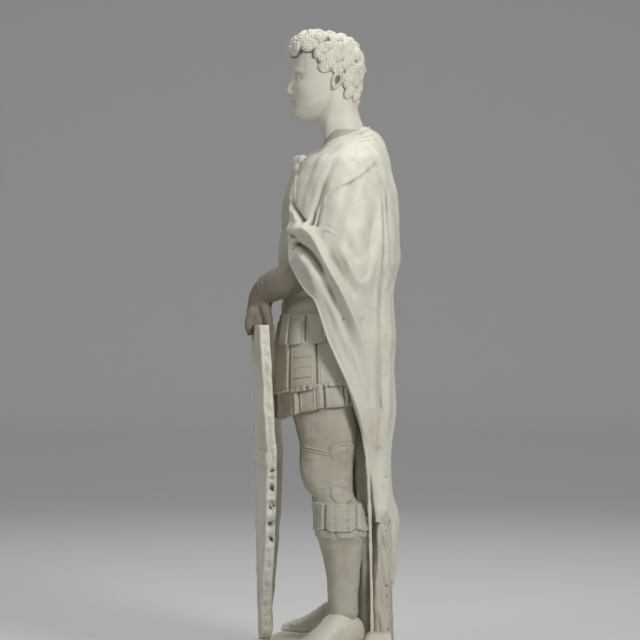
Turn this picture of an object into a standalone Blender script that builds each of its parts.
"""A marble figure of a young armoured saint with one hand on a tall shield, carved in one block.

+Z is up, the figure looks along -Y and its left hand is at +X. The origin is on the plinth's
underside, below the ankles. The tables give metres on a figure CANON tall whose soles are at
Z = 0. Angles go round the body: 0 is the front, 90 the left side, 180 the back, 270 the right.
"""

import math

import bmesh
import bpy
import numpy as np

# Driving dimensions, in metres
FIGURE_HEIGHT = 1.99  # from the plinth's top to the top of the hair
PLINTH_HEIGHT = 0.10
PLINTH_WIDTH = 0.70  # along X
PLINTH_DEPTH = 0.50  # along Y
PLINTH_BACK = 0.20  # Y of the plinth's back edge
SHIELD_WIDTH = 0.50
SHIELD_THICKNESS = 0.032
SHIELD_BOW = 0.050  # how far the shield's middle stands in front of its edges

# Corners of the plinth, as shares of its width and of its depth
PLINTH_CORNERS = (
    (0.47, 1.0), (-0.47, 0.965), (-0.50, 0.62), (-0.485, 0.38), (-0.36, 0.25), (-0.13, 0.16),
    (-0.03, 0.10), (0.12, 0.0), (0.30, 0.02), (0.44, 0.10), (0.50, 0.26), (0.495, 0.75),
)
# The plinth's wall: share of its height, how far it lies inside the outline
PLINTH_WALL = ((0.0, 0.004), (0.35, 0.0), (0.75, 0.006), (1.0, 0.014))

# The figure's tables are written for this height
CANON = 1.99
K = FIGURE_HEIGHT / CANON

# How finely the block is carved
GRAIN = 0.0055 * K  # edge of the cubes that fuse the forms into one skin
TRIANGLES = 8700  # how many triangles the finished skin keeps

BURIED = 0.02  # how far feet, shield and support reach into the plinth
CLOAK_MIDDLE = 0.03  # Y of the axis that the cloak hangs round
SKIRT_STRIPS = 10
STRIP_POINTS = 12  # points across a strip
SKIRT_HANG = 1.06  # height that the skirt hangs from
SKIRT_GROOVE = 84.0  # angle of one of the grooves between the strips, in degrees
SKIRT_DIP = 0.052  # how much lower the skirt's hem is at the front
GROOVE_DEPTH = 0.012  # of the grooves between the strips
# Rows of strips: height of the lower and the upper edge, how far the row stands out
SKIRT_ROWS = ((0.970, 1.060, 0.009), (0.834, 0.980, 0.008), (0.768, 0.848, 0.004))

# Torso under the cuirass: height, half width, front Y, back Y
TORSO = (
    (0.98, 0.150, -0.160, 0.080), (1.02, 0.158, -0.172, 0.080), (1.10, 0.150, -0.176, 0.075),
    (1.16, 0.152, -0.176, 0.080), (1.25, 0.165, -0.182, 0.100), (1.35, 0.182, -0.174, 0.125),
    (1.42, 0.190, -0.165, 0.140), (1.50, 0.190, -0.150, 0.145), (1.56, 0.175, -0.108, 0.140),
    (1.59, 0.150, -0.068, 0.132), (1.62, 0.120, -0.038, 0.120), (1.66, 0.070, -0.020, 0.100),
)
NECK = (
    (1.56, 0.085, -0.050, 0.110), (1.62, 0.068, -0.036, 0.090), (1.673, 0.062, -0.050, 0.092),
    (1.702, 0.061, -0.062, 0.083), (1.735, 0.066, -0.066, 0.074), (1.77, 0.072, -0.070, 0.071),
    (1.80, 0.075, -0.060, 0.066),
)
HEAD = (
    (1.694, 0.016, -0.108, 0.010), (1.702, 0.028, -0.120, 0.045), (1.72, 0.046, -0.131, 0.060),
    (1.74, 0.061, -0.134, 0.066), (1.77, 0.073, -0.136, 0.070), (1.80, 0.080, -0.136, 0.078),
    (1.83, 0.083, -0.133, 0.083), (1.86, 0.085, -0.136, 0.085), (1.90, 0.084, -0.130, 0.080),
    (1.93, 0.075, -0.105, 0.062), (1.955, 0.050, -0.068, 0.030), (1.972, 0.010, -0.030, -0.02),
)
SKIRT = (
    (0.72, 0.214, -0.188, 0.117), (0.76, 0.210, -0.185, 0.115), (0.79, 0.208, -0.186, 0.115),
    (0.85, 0.200, -0.190, 0.110), (0.96, 0.180, -0.186, 0.100), (1.02, 0.168, -0.178, 0.090),
    (1.06, 0.165, -0.172, 0.085),
)
# Left leg: height, X of its middle, front Y, back Y, half width
LEG = (
    (0.03, 0.166, -0.020, 0.082, 0.045), (0.10, 0.166, -0.022, 0.075, 0.043),
    (0.125, 0.166, -0.020, 0.072, 0.041), (0.205, 0.160, -0.023, 0.077, 0.046),
    (0.279, 0.153, -0.036, 0.084, 0.058), (0.334, 0.148, -0.053, 0.091, 0.066),
    (0.360, 0.146, -0.056, 0.092, 0.068), (0.420, 0.141, -0.060, 0.081, 0.068),
    (0.466, 0.137, -0.069, 0.064, 0.066), (0.494, 0.134, -0.088, 0.057, 0.067),
    (0.527, 0.130, -0.102, 0.056, 0.070), (0.575, 0.125, -0.112, 0.059, 0.074),
    (0.623, 0.118, -0.113, 0.067, 0.080), (0.687, 0.110, -0.120, 0.075, 0.088),
    (0.745, 0.105, -0.135, 0.073, 0.092), (0.900, 0.095, -0.135, 0.085, 0.098),
)
# Strap pads below the knee: height of their middle, half height, thickness
PADS = (0.402, 0.068, 0.012)
THIGH_FORWARD = 0.012  # how far the right thigh stands in front of the left one
# Plate on the outer side of the left knee: X, Y, height, radius
KNEE_PLATE = (
    (0.170, 0.012, 0.640, 0.006), (0.171, 0.014, 0.612, 0.036), (0.174, 0.014, 0.560, 0.032),
    (0.176, 0.012, 0.522, 0.022), (0.178, 0.012, 0.492, 0.028), (0.180, 0.012, 0.462, 0.008),
)
# Round of the chest: X, Y, height, radius
CHEST = (0.070, -0.098, 1.415, 0.080)
# Foot: distance in front of the ankle, half width, height
FOOT = (
    (-0.082, 0.012, 0.025), (-0.076, 0.030, 0.055), (-0.050, 0.044, 0.088),
    (0.000, 0.050, 0.100), (0.030, 0.048, 0.104), (0.055, 0.045, 0.096), (0.085, 0.046, 0.074),
    (0.120, 0.050, 0.052), (0.150, 0.050, 0.038), (0.180, 0.044, 0.029),
    (0.200, 0.030, 0.021), (0.208, 0.010, 0.012),
)
ANKLE = (0.165, 0.024)
FOOT_TURN = {1: 48.0, -1: 15.0}  # degrees that the left and the right foot point outwards

# Arms: points along the limb and its radii
LEFT_ARM = (
    (0.120, 0.045, 1.545, 0.060), (0.180, 0.040, 1.510, 0.064), (0.206, 0.005, 1.380, 0.058),
    (0.200, -0.030, 1.235, 0.051), (0.170, -0.095, 1.198, 0.053), (0.135, -0.160, 1.166, 0.052),
    (0.092, -0.218, 1.140, 0.045), (0.067, -0.242, 1.105, 0.040), (0.059, -0.248, 1.060, 0.038),
    (0.058, -0.248, 1.025, 0.034),
)
RIGHT_ARM = (
    (-0.120, 0.045, 1.545, 0.060), (-0.180, 0.050, 1.510, 0.064), (-0.218, 0.090, 1.380, 0.060),
    (-0.238, 0.130, 1.235, 0.056), (-0.245, 0.090, 1.130, 0.051), (-0.245, 0.035, 1.020, 0.037),
    (-0.243, 0.005, 0.975, 0.039), (-0.240, -0.016, 0.935, 0.045), (-0.236, -0.028, 0.895, 0.030),
)
FINGER_RADIUS = 0.0125
FINGER_PITCH = 0.0235

# Shield: height above the plinth, share of the half width
SHIELD = (
    (-0.02, 0.04), (0.0, 0.10), (0.02, 0.20), (0.10, 0.30), (0.20, 0.492), (0.30, 0.66),
    (0.40, 0.80), (0.50, 0.912), (0.60, 0.98), (0.70, 1.0), (0.85, 0.988), (0.95, 0.94),
    (1.01, 0.88), (1.025, 0.86),
)
SHIELD_RIDGE = (
    (0.0, -0.243), (0.15, -0.249), (0.36, -0.254), (0.61, -0.2635), (0.82, -0.266), (1.025, -0.269),
)
SHIELD_X = 0.012
CROSS_HEIGHT = 0.601  # height of the raised cross's bar
CROSS_WIDTH = 0.040
CROSS_RELIEF = 0.006

# Cloak: height, half width left, half width right, half depth front, half depth back
CLOAK = (
    (0.16, 0.215, 0.215, 0.140, 0.150), (0.20, 0.218, 0.218, 0.145, 0.160),
    (0.38, 0.222, 0.222, 0.150, 0.173), (0.48, 0.222, 0.222, 0.150, 0.155),
    (0.60, 0.222, 0.225, 0.150, 0.152), (0.78, 0.235, 0.235, 0.165, 0.161),
    (0.91, 0.250, 0.250, 0.170, 0.156), (0.99, 0.262, 0.265, 0.180, 0.162),
    (1.04, 0.270, 0.270, 0.190, 0.157), (1.13, 0.287, 0.282, 0.210, 0.151),
    (1.19, 0.292, 0.287, 0.228, 0.162), (1.23, 0.295, 0.290, 0.238, 0.172),
    (1.33, 0.292, 0.286, 0.234, 0.176),
    (1.38, 0.286, 0.282, 0.216, 0.176), (1.44, 0.276, 0.274, 0.200, 0.174),
    (1.48, 0.266, 0.266, 0.186, 0.168), (1.52, 0.252, 0.252, 0.162, 0.158),
    (1.56, 0.222, 0.222, 0.140, 0.150), (1.60, 0.165, 0.165, 0.085, 0.136),
    (1.625, 0.122, 0.122, 0.066, 0.127), (1.65, 0.090, 0.090, 0.060, 0.112),
    (1.675, 0.072, 0.072, 0.055, 0.070),
)
# Where the cloak's two edges stand, in degrees round the body
CLOAK_EDGES = (
    (0.16, 128.0, 236.0), (0.30, 127.0, 237.0), (0.468, 126.0, 238.0), (0.564, 121.0, 239.0),
    (0.66, 113.0, 240.0), (0.755, 103.0, 242.0), (0.85, 90.0, 245.0), (0.92, 79.0, 248.0),
    (0.993, 69.5, 252.0), (1.05, 65.0, 255.0), (1.105, 60.5, 259.0), (1.133, 52.8, 262.0),
    (1.18, 46.0, 267.0), (1.23, 41.0, 273.0), (1.28, 40.0, 281.0), (1.33, 39.0, 291.0),
    (1.38, 35.7, 305.0), (1.44, 31.0, 322.0), (1.48, 24.5, 333.0), (1.52, 13.0, 346.0),
    (1.545, -3.0, 356.0), (1.56, -9.0, 359.0), (1.70, -12.0, 359.0),
)
# How thick the cloak is: it fills up to the body above the skirt's hem
CLOAK_DEPTH = (
    (0.16, 0.034), (0.60, 0.036), (0.74, 0.055), (0.95, 0.110), (1.30, 0.120), (1.70, 0.060),
)
# Height of the cloak's upper and lower border over the share of its width from the left edge
CLOAK_TOP = (
    (0.0, 1.555), (0.08, 1.600), (0.25, 1.636), (0.50, 1.673), (0.75, 1.636), (0.92, 1.600), (1.0, 1.555),
)
CLOAK_HEM = (
    (0.0, 0.388), (0.24, 0.392), (0.275, 0.250), (0.33, 0.185), (0.50, 0.186), (0.68, 0.205),
    (0.74, 0.330), (1.0, 0.350),
)

# Folds that show from the left: height (negative is a hollow), width, places as (Y, height)
FOLDS = (
    (0.024, 0.019, (
        (-0.136, 1.308), (-0.119, 1.330), (-0.095, 1.330), (-0.068, 1.303), (-0.034, 1.228), (0.016, 1.133),
        (0.059, 1.031), (0.092, 0.942), (0.109, 0.831), (0.120, 0.560))),
    (-0.026, 0.013, ((-0.127, 1.283), (-0.085, 1.256), (-0.050, 1.214), (-0.020, 1.148), (0.042, 0.985))),
    (0.010, 0.012, ((-0.135, 1.269), (-0.112, 1.206), (-0.087, 1.152))),
    (-0.024, 0.015, ((-0.017, 1.580), (-0.033, 1.532), (-0.049, 1.469), (-0.065, 1.406), (-0.078, 1.333))),
    (0.008, 0.012, ((-0.055, 1.323), (-0.017, 1.310), (0.018, 1.295))),
    (0.008, 0.012, ((-0.049, 1.285), (-0.001, 1.263), (0.046, 1.225))),
    (0.014, 0.013, (
        (0.014, 1.310), (0.037, 1.225), (0.081, 1.149), (0.097, 1.174), (0.110, 1.238), (0.119, 1.310))),
    (-0.010, 0.012, ((0.052, 1.295), (0.081, 1.206), (0.103, 1.295))),
    (-0.012, 0.014, ((0.024, 1.200), (0.052, 1.136), (0.078, 1.111), (0.097, 1.130), (0.116, 1.225))),
    (0.013, 0.012, ((0.125, 1.501), (0.129, 1.263), (0.122, 0.914), (0.119, 0.470))),
    (-0.016, 0.012, ((0.141, 1.421), (0.144, 1.009), (0.142, 0.470))),
    (0.013, 0.012, ((0.160, 1.485), (0.165, 1.100), (0.163, 0.600))),
    (-0.012, 0.018, ((0.071, 1.104), (0.084, 0.978), (0.103, 0.787), (0.113, 0.661))),
    (0.024, 0.017, ((0.152, 0.629), (0.152, 0.534), (0.150, 0.410))),
)
FAR_FLUTES = 7  # hanging folds on the right half of the back
FAR_FLUTE_RELIEF = 0.013
# Swelling of the cloak over the right elbow: angle, height, half width in degrees, half height, relief
ELBOW = (220.0, 1.245, 24.0, 0.085, 0.042)

# Block that joins the cloak to the plinth on the left: height, half width, front Y, back Y
SUPPORT = (
    (-0.02, 0.052, 0.124, 0.181), (0.05, 0.051, 0.125, 0.178), (0.20, 0.049, 0.125, 0.175),
    (0.32, 0.044, 0.127, 0.173), (0.40, 0.034, 0.130, 0.169), (0.52, 0.030, 0.130, 0.166),
)
SUPPORT_X = 0.135
# Raised ground below that block
MOUND = ((-0.02, 0.086, 0.092, 0.194), (0.020, 0.084, 0.095, 0.192), (0.042, 0.072, 0.104, 0.184))
MOUND_X = 0.165
# Mass of cloth between the legs and the cloak
BACKING = (
    (-0.02, 0.150, 0.064, 0.190), (0.10, 0.146, 0.062, 0.186), (0.25, 0.140, 0.066, 0.182),
    (0.45, 0.140, 0.052, 0.176), (0.62, 0.140, 0.046, 0.170), (0.76, 0.115, 0.050, 0.165),
    (0.85, 0.085, 0.060, 0.160),
)
BACKING_X = -0.022
KNOT = (0.01, -0.117, 1.546)
CURLS = 86
CURL_RADIUS = 0.0165
CURLS_TOP = 1.979  # height of the highest curl's middle
HAIRLINE = 1.907  # height where the hair starts over the forehead
NAPE = 1.742  # height of the lowest curls at the back


def smooth(table, at):
    """Columns of a table as smooth curves over its first column, with no overshoot."""
    rows = np.array(table, float)
    x, y = rows[:, 0], rows[:, 1:]
    step = np.diff(x)[:, None]
    slope = np.diff(y, axis=0) / step
    bend = np.zeros_like(y)
    ahead, behind = slope[1:], slope[:-1]
    same = ahead * behind > 0
    total = np.where(same, ahead + behind, 1.0)
    bend[1:-1] = np.where(same, 2 * ahead * behind / total, 0.0)
    bend[0], bend[-1] = slope[0], slope[-1]
    at = np.clip(np.atleast_1d(np.asarray(at, float)), x[0], x[-1])
    i = np.clip(np.searchsorted(x, at, side="right") - 1, 0, len(x) - 2)
    h = step[i]
    t = ((at - x[i]) / h[:, 0])[:, None]
    start = (1 + 2 * t) * (1 - t) ** 2 * y[i] + t * (1 - t) ** 2 * h * bend[i]
    end = t * t * (3 - 2 * t) * y[i + 1] + t * t * (t - 1) * h * bend[i + 1]
    return start + end


def quads(rows, columns, around):
    """Faces of a grid of points; around closes the columns into rings."""
    last = columns if around else columns - 1
    faces = []
    for r in range(rows - 1):
        for c in range(last):
            n = (c + 1) % columns
            low, high = r * columns, (r + 1) * columns
            faces.append((low + c, low + n, high + n, high + c))
    return faces


def tube(centre, side, front, around=28, power=2.2):
    """A closed form whose rings run through centre, side and front half axes, row by row."""
    centre, side, front = (np.asarray(v, float) for v in (centre, side, front))
    a = np.linspace(0, 2 * math.pi, around, endpoint=False)
    c = np.sign(np.cos(a)) * np.abs(np.cos(a)) ** (2 / power)
    s = np.sign(np.sin(a)) * np.abs(np.sin(a)) ** (2 / power)
    rings = centre[:, None] + side[:, None] * c[None, :, None] + front[:, None] * s[None, :, None]
    points = rings.reshape(-1, 3).tolist() + [centre[0].tolist(), centre[-1].tolist()]
    n, bottom, top = len(centre), len(points) - 2, len(points) - 1
    faces = quads(n, around, True)
    for i in range(around):
        j = (i + 1) % around
        faces.append((j, i, bottom))
        faces.append(((n - 1) * around + i, (n - 1) * around + j, top))
    return np.array(points), faces


def stack(table, count, x=0.0, around=28, power=2.2):
    """A closed upright form from rows of height, half width, front Y and back Y."""
    z = np.linspace(table[0][0], table[-1][0], count)
    half, near, back = smooth(table, z).T
    middle = np.full_like(z, x)
    nothing = np.zeros_like(z)
    centre = np.stack([middle, (near + back) / 2, z], 1)
    side = np.stack([half, nothing, nothing], 1)
    front = np.stack([nothing, (back - near) / 2, nothing], 1)
    return tube(centre, side, front, around, power)


def limb(points, per_span=3, flat=1.0, around=16, ref=(1.0, 0.0, 0.0)):
    """A closed round form along points with a radius each; flat squeezes it across ref."""
    points = np.array(points, float)
    t = np.linspace(0, len(points) - 1, (len(points) - 1) * per_span + 1)
    path = smooth(np.column_stack([np.arange(len(points)), points]), t)
    way = np.gradient(path[:, :3], axis=0)
    way /= np.linalg.norm(way, axis=1)[:, None]
    front = np.cross(way, np.array(ref))
    front /= np.linalg.norm(front, axis=1)[:, None]
    side = np.cross(front, way)
    radius = path[:, 3:4].copy()
    return tube(path[:, :3], side * radius, front * radius * flat, around, 2.0)


def slab(outer, inner):
    """A closed form between two grids of points of the same size."""
    rows, columns = outer.shape[:2]
    points = np.concatenate([outer.reshape(-1, 3), inner.reshape(-1, 3)])
    size = rows * columns
    front = quads(rows, columns, False)
    faces = front + [tuple(size + i for i in reversed(f)) for f in front]
    rim = [c for c in range(columns)] + [r * columns + columns - 1 for r in range(1, rows)]
    rim += [(rows - 1) * columns + c for c in range(columns - 2, -1, -1)]
    rim += [r * columns for r in range(rows - 2, 0, -1)]
    for a, b in zip(rim, rim[1:] + rim[:1]):
        faces.append((b, a, size + a, size + b))
    return points, faces


def ball(centre, radius, squash=1.0):
    """A small faceted lump."""
    a = np.linspace(-1, 1, 6)[1:-1] * 1.2
    z = np.sin(a) * radius
    r = np.cos(a) * radius
    nothing = np.zeros_like(z)
    path = np.array(centre) + np.stack([nothing, nothing, z], 1)
    wide = np.stack([r, nothing, nothing], 1)
    deep = np.stack([nothing, r * squash, nothing], 1)
    return tube(path, wide, deep, 8, 2.0)


def leg(side):
    """One leg; the right one is the left one mirrored, its thigh a little further forward."""
    z = np.linspace(LEG[0][0], LEG[-1][0], 64)
    x, near, back, half = smooth(LEG, z).T
    if side < 0:
        shift = THIGH_FORWARD * np.clip((z - 0.50) / 0.25, 0, 1)
        near, back = near - shift, back - shift
    middle, reach, thick = PADS
    pads = np.exp(-np.abs((z - middle) / reach) ** 8) * (thick + 0.05 * np.clip(0.46 - z, 0, 1))
    near, back, half = near - pads, back + pads, half + pads
    nothing = np.zeros_like(z)
    centre = np.stack([side * x, (near + back) / 2, z], 1)
    wide = np.stack([half, nothing, nothing], 1)
    deep = np.stack([nothing, (back - near) / 2, nothing], 1)
    return tube(centre, wide, deep, 28, 2.15)


def knee_plate(side):
    """The raised plate on the outer side of the knee."""
    points = [(side * x, y, z, r) for x, y, z, r in KNEE_PLATE]
    return limb(points, 3, 1.0, 12, (0.0, 1.0, 0.0))


def foot(side):
    """One foot in its shoe, from heel to toe, sunk a little into the plinth."""
    turn = math.radians(FOOT_TURN[side])
    way = np.array([side * math.sin(turn), -math.cos(turn), 0.0])
    across = np.array([way[1], -way[0], 0.0])
    s = np.linspace(FOOT[0][0], FOOT[-1][0], 26)
    half, top = smooth(FOOT, s).T
    start = np.array([side * ANKLE[0], ANKLE[1], 0.0])
    centre = start + s[:, None] * way
    centre[:, 2] = (top - BURIED) / 2
    up = np.stack([np.zeros_like(s), np.zeros_like(s), (top + BURIED) / 2], 1)
    return tube(centre, half[:, None] * across, up, 16, 2.5)


def skirt():
    """Three overlapping rows of strips round the hips, each row standing a little further out."""
    forms = []
    for low, high, out in SKIRT_ROWS:
        z = np.linspace(low, high, 7)
        half, near, back = smooth(SKIRT, z).T
        a = np.linspace(0, 2 * math.pi, SKIRT_STRIPS * STRIP_POINTS, endpoint=False)
        a = a + math.radians(SKIRT_GROOVE)
        place = ((a - math.radians(SKIRT_GROOVE)) * SKIRT_STRIPS / (2 * math.pi)) % 1.0
        groove = np.where((place < 0.06) | (place > 0.94), GROOVE_DEPTH, 0.0)
        c, s = np.cos(a), np.sin(a)
        c = np.sign(c) * np.abs(c) ** 0.92
        s = np.sign(s) * np.abs(s) ** 0.92
        reach = out - groove[None, :]
        x = (half[:, None] + reach) * s[None, :]
        y = (near + back)[:, None] / 2 - ((back - near)[:, None] / 2 + reach) * c[None, :]
        dip = SKIRT_DIP * (((1 + c) / 2) ** 2.2)[None, :] * ((SKIRT_HANG - z) / 0.30)[:, None]
        height = z[:, None] - dip
        rings = np.stack([x, y, height], 2)
        n, m = rings.shape[:2]
        middle = [[0.0, -0.04, float(height[0].mean()) + 0.012], [0.0, -0.04, float(height[-1].mean())]]
        points = np.array(rings.reshape(-1, 3).tolist() + middle)
        faces = quads(n, m, True)
        for i in range(m):
            j = (i + 1) % m
            faces.append((j, i, n * m))
            faces.append(((n - 1) * m + i, (n - 1) * m + j, n * m + 1))
        forms.append((points, faces))
    return forms


def fold_relief(y, z):
    """How far the folds on the left side stand out at places given by Y and height."""
    total = np.zeros_like(y)
    for height, width, line in FOLDS:
        line = np.array(line)
        nearest = np.full(y.shape, 9.0)
        for start, end in zip(line[:-1], line[1:]):
            way = end - start
            t = ((y - start[0]) * way[0] + (z - start[1]) * way[1]) / (way @ way)
            t = np.clip(t, 0, 1)
            gap = np.hypot(y - start[0] - t * way[0], z - start[1] - t * way[1])
            nearest = np.minimum(nearest, gap)
        total += height * np.exp(-((nearest / width) ** 2))
    return total


def cloak():
    """The cloak as a thick sheet round the back of the body, its folds raised and hollowed."""
    u = np.linspace(0, 1, 110)
    v = np.linspace(0, 1, 96)
    low = smooth(CLOAK_HEM, u)[:, 0]
    high = smooth(CLOAK_TOP, u)[:, 0]
    z = low[None, :] + (high - low)[None, :] * v[:, None]
    flat = z.ravel()
    left, right, front, back = (c.reshape(z.shape) for c in smooth(CLOAK, flat).T)
    start, end = (np.radians(c.reshape(z.shape)) for c in smooth(CLOAK_EDGES, flat).T)
    depth = smooth(CLOAK_DEPTH, flat)[:, 0].reshape(z.shape)
    angle = start + (end - start) * u[None, :]
    s, c = np.sin(angle), np.cos(angle)
    half = np.where(s > 0, left, right)
    reach = np.where(c > 0, front, back)
    x, y = half * s, CLOAK_MIDDLE - reach * c
    near = np.clip(s * 3 + 0.4, 0, 1)
    relief = near * fold_relief(y, z)
    hang = np.clip((1.50 - z) / 0.25, 0, 1)
    flutes = np.cos(FAR_FLUTES * 2 * (angle - math.pi) + 0.6 * np.sin(3 * z))
    relief += (1 - near) * hang * FAR_FLUTE_RELIEF * flutes
    around, height, wide, high, out = ELBOW
    relief += out * np.exp(-(((np.degrees(angle) - around) / wide) ** 2) - ((z - height) / high) ** 2)
    outer = np.stack([x + relief * s, y - relief * c, z], 2)
    middle = CLOAK_MIDDLE + 0.075 * np.clip((0.76 - z) / 0.16, 0, 1)
    shrink = 1 - depth / np.maximum(np.hypot(x, y - middle), depth + 0.01)
    inner = np.stack([x * shrink, middle + (y - middle) * shrink, z], 2)
    return slab(outer, inner)


def shield():
    """A tall pointed plate, bowed to the front, with a thin raised cross and a rough edge."""
    z = np.linspace(SHIELD[0][0], SHIELD[-1][0], 70)
    u = np.linspace(-1, 1, 41)
    half = smooth(SHIELD, z)[:, 0] * SHIELD_WIDTH / 2
    ridge = smooth(SHIELD_RIDGE, z)[:, 0]
    x = half[:, None] * u[None, :]
    share = np.abs(x) / (SHIELD_WIDTH / 2)
    y = ridge[:, None] + SHIELD_BOW * share ** 1.35 - 0.03 * x
    bar = np.exp(-((2 * (z[:, None] - CROSS_HEIGHT) / CROSS_WIDTH) ** 6))
    post = np.exp(-((2 * x / CROSS_WIDTH) ** 6))
    raised = CROSS_RELIEF * np.maximum(bar, post)
    height = np.broadcast_to(z[:, None], x.shape)
    front = np.stack([x + SHIELD_X, y - raised, height], 2)
    lean = 0.6 * SHIELD_THICKNESS * np.sign(x) * share
    back = np.stack([x * 0.97 + SHIELD_X - lean * 0.3, y + SHIELD_THICKNESS, height], 2)
    return slab(front, back)


def hand():
    """Four fingers that hang over the shield's top and a thumb behind it."""
    forms = []
    for i in range(4):
        x = 0.020 + i * FINGER_PITCH
        reach = 0.008 * abs(i - 1.4)
        back = (0.045 + 0.35 * (x - 0.045), -0.258, 1.095, 0.022)
        top = (x, -0.276, 1.062, FINGER_RADIUS * 1.4)
        knuckle = (x, -0.290, 1.040, FINGER_RADIUS * 1.2)
        middle = (x, -0.2935, 1.015, FINGER_RADIUS)
        tip = (x, -0.290, 0.985 + reach, FINGER_RADIUS * 0.8)
        forms.append(limb([back, top, knuckle, middle, tip], 2, 1.0, 10))
    palm = [(0.062, -0.250, 1.090, 0.034), (0.058, -0.256, 1.050, 0.034), (0.056, -0.258, 1.010, 0.022)]
    forms.append(limb(palm, 3))
    thumb = [(0.092, -0.238, 1.100, 0.018), (0.098, -0.222, 1.062, 0.0155), (0.094, -0.214, 1.015, 0.0115)]
    forms.append(limb(thumb, 2, 1.0, 10))
    return forms


def curls():
    """Short curls as lumps over the skull, from the hairline to the nape."""
    forms = []
    turn = math.pi * (3 - math.sqrt(5))
    placed = 0
    i = 0
    while placed < CURLS and i < 400:
        share = (i + 0.5) / 150
        z = CURLS_TOP - 0.248 * share
        angle = i * turn
        i += 1
        if z < NAPE:
            break
        ahead = math.cos(angle)
        limit = NAPE + (HAIRLINE - NAPE) * max(0.0, min(1.0, (ahead + 0.25) / 0.75))
        if z < limit:
            continue
        half, near, back = smooth(HEAD, z)[0]
        middle = (near + back) / 2
        depth = (back - near) / 2
        place = (half * math.sin(angle), middle - depth * ahead, z)
        size = CURL_RADIUS * (1.0 + 0.15 * math.sin(i * 2.3))
        forms.append(ball(place, size))
        placed += 1
    return forms


def face():
    """Nose, brow, lips, chin and ears as small closed forms."""
    forms = []
    nose = [
        (0.0, -0.128, 1.842, 0.008), (0.0, -0.138, 1.820, 0.010), (0.0, -0.144, 1.800, 0.012),
        (0.0, -0.1475, 1.787, 0.013), (0.0, -0.138, 1.778, 0.010),
    ]
    forms.append(limb(nose, 2, 1.0, 10))
    brow = [
        (-0.058, -0.100, 1.838, 0.008), (-0.034, -0.124, 1.846, 0.010), (0.0, -0.131, 1.842, 0.009),
        (0.034, -0.124, 1.846, 0.010), (0.058, -0.100, 1.838, 0.008),
    ]
    forms.append(limb(brow, 2, 1.0, 10, (0.0, 0.0, 1.0)))
    lips = [(-0.022, -0.128, 1.751, 0.005), (0.0, -0.134, 1.752, 0.0085), (0.022, -0.128, 1.751, 0.005)]
    forms.append(limb(lips, 2, 1.0, 10, (0.0, 0.0, 1.0)))
    forms.append(ball((0.0, -0.124, 1.717), 0.016))
    for side in (1, -1):
        ear = [
            (side * 0.084, 0.012, 1.850, 0.008), (side * 0.090, 0.016, 1.835, 0.014),
            (side * 0.088, 0.010, 1.808, 0.012), (side * 0.082, 0.002, 1.786, 0.007),
        ]
        forms.append(limb(ear, 2, 0.9, 10))
    return forms


def knot():
    """The lump of gathered cloth in front of the neck and the rolled border that leads to it."""
    x, y, z = KNOT
    forms = [ball((x, y, z), 0.030)]
    forms.append(ball((x + 0.022, y - 0.010, z - 0.028), 0.020))
    forms.append(ball((x - 0.022, y + 0.006, z + 0.020), 0.020))
    for side in (1, -1):
        roll = [
            (x, y, z, 0.020), (side * 0.050, -0.085, 1.588, 0.020), (side * 0.085, -0.015, 1.622, 0.020),
            (side * 0.080, 0.060, 1.650, 0.020), (0.0, 0.105, 1.664, 0.020),
        ]
        forms.append(limb(roll, 4, 1.0, 12, (0.0, 0.0, 1.0)))
    return forms


def figure_forms():
    """Every form of the figure, shield and drapery, in the tables' own metres."""
    forms = [stack(TORSO, 24, power=2.3), stack(NECK, 12), stack(HEAD, 26)]
    x, y, z, radius = CHEST
    forms += [ball((side * x, y, z), radius, 0.95) for side in (1, -1)]
    forms += skirt() + face() + curls() + knot() + hand()
    for side in (1, -1):
        forms += [leg(side), foot(side), knee_plate(side)]
    forms += [limb(LEFT_ARM, 3), limb(RIGHT_ARM, 3)]
    forms.append(cloak())
    forms.append(stack(SUPPORT, 14, SUPPORT_X, 20, 4.0))
    forms.append(stack(MOUND, 6, MOUND_X, 24, 4.0))
    forms.append(stack(BACKING, 14, BACKING_X, 32, 4.0))
    return forms


def mesh_from(name, forms):
    """One mesh from many closed forms, each with its faces turned outwards."""
    bm = bmesh.new()
    for points, faces in forms:
        part = bmesh.new()
        made = [part.verts.new(p) for p in points]
        for face_points in faces:
            part.faces.new([made[i] for i in face_points])
        bmesh.ops.recalc_face_normals(part, faces=part.faces)
        piece = bpy.data.meshes.new("piece")
        part.to_mesh(piece)
        part.free()
        bm.from_mesh(piece)
        bpy.data.meshes.remove(piece)
    mesh = bpy.data.meshes.new(name)
    bm.to_mesh(mesh)
    bm.free()
    return mesh


def marble():
    """Polished white statuary marble with a warm tint."""
    material = bpy.data.materials.new("marble")
    material.use_nodes = True
    shader = material.node_tree.nodes["Principled BSDF"]
    shader.inputs["Base Color"].default_value = (0.80, 0.77, 0.70, 1.0)
    shader.inputs["Roughness"].default_value = 0.48
    return material


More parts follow.
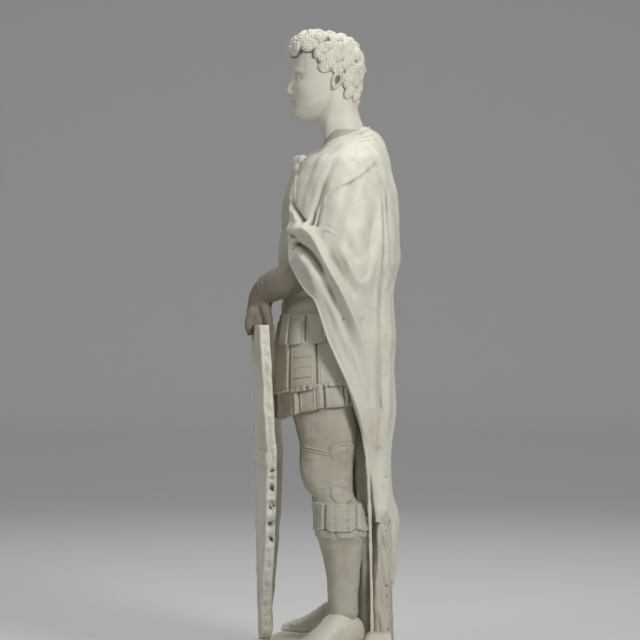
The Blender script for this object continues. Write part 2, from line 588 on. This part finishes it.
def plinth_block():
    """The low plinth: a rough many-sided block with a flat underside."""
    bm = bmesh.new()
    rings = []
    for level, inset in PLINTH_WALL:
        ring = []
        for i, (across, along) in enumerate(PLINTH_CORNERS):
            rough = inset * (1.0 + 0.5 * math.sin(2.7 * i + 5 * level))
            x = across * (PLINTH_WIDTH - 2 * rough)
            y = PLINTH_BACK - PLINTH_DEPTH + rough + along * (PLINTH_DEPTH - 2 * rough)
            ring.append(bm.verts.new((x, y, level * PLINTH_HEIGHT)))
        rings.append(ring)
    count = len(PLINTH_CORNERS)
    for low, high in zip(rings[:-1], rings[1:]):
        for i in range(count):
            j = (i + 1) % count
            bm.faces.new((low[i], low[j], high[j], high[i]))
    bm.faces.new(list(reversed(rings[0])))
    bm.faces.new(rings[-1])
    bmesh.ops.recalc_face_normals(bm, faces=bm.faces)
    mesh = bpy.data.meshes.new("plinth")
    bm.to_mesh(mesh)
    bm.free()
    block = bpy.data.objects.new("plinth_form", mesh)
    bpy.context.scene.collection.objects.link(block)
    block.hide_render = True
    block.display_type = "WIRE"
    return block


def main():
    """Clear the scene and carve the statue."""
    for old in list(bpy.data.objects):
        bpy.data.objects.remove(old, do_unlink=True)
    lift = np.array([0.0, 0.0, PLINTH_HEIGHT])
    forms = [(points * K + lift, faces) for points, faces in figure_forms()]
    points, faces = shield()
    forms.append((points * np.array([1.0, K, K]) + lift, faces))
    mesh = mesh_from("statue", forms)
    mesh.materials.append(marble())
    statue = bpy.data.objects.new("statue", mesh)
    bpy.context.scene.collection.objects.link(statue)

    fuse = statue.modifiers.new("fuse", "REMESH")
    fuse.mode = "VOXEL"
    fuse.voxel_size = GRAIN
    fuse.adaptivity = 0.0

    graph = bpy.context.evaluated_depsgraph_get()
    fused = statue.evaluated_get(graph)
    skin = fused.to_mesh()
    count = sum(len(polygon.vertices) - 2 for polygon in skin.polygons)
    fused.to_mesh_clear()

    thin = statue.modifiers.new("thin", "DECIMATE")
    thin.decimate_type = "COLLAPSE"
    thin.ratio = min(1.0, TRIANGLES / max(count, 1))
    thin.use_collapse_triangulate = True

    block = plinth_block()
    join = statue.modifiers.new("plinth", "BOOLEAN")
    join.operation = "UNION"
    join.solver = "EXACT"
    join.object = block


main()
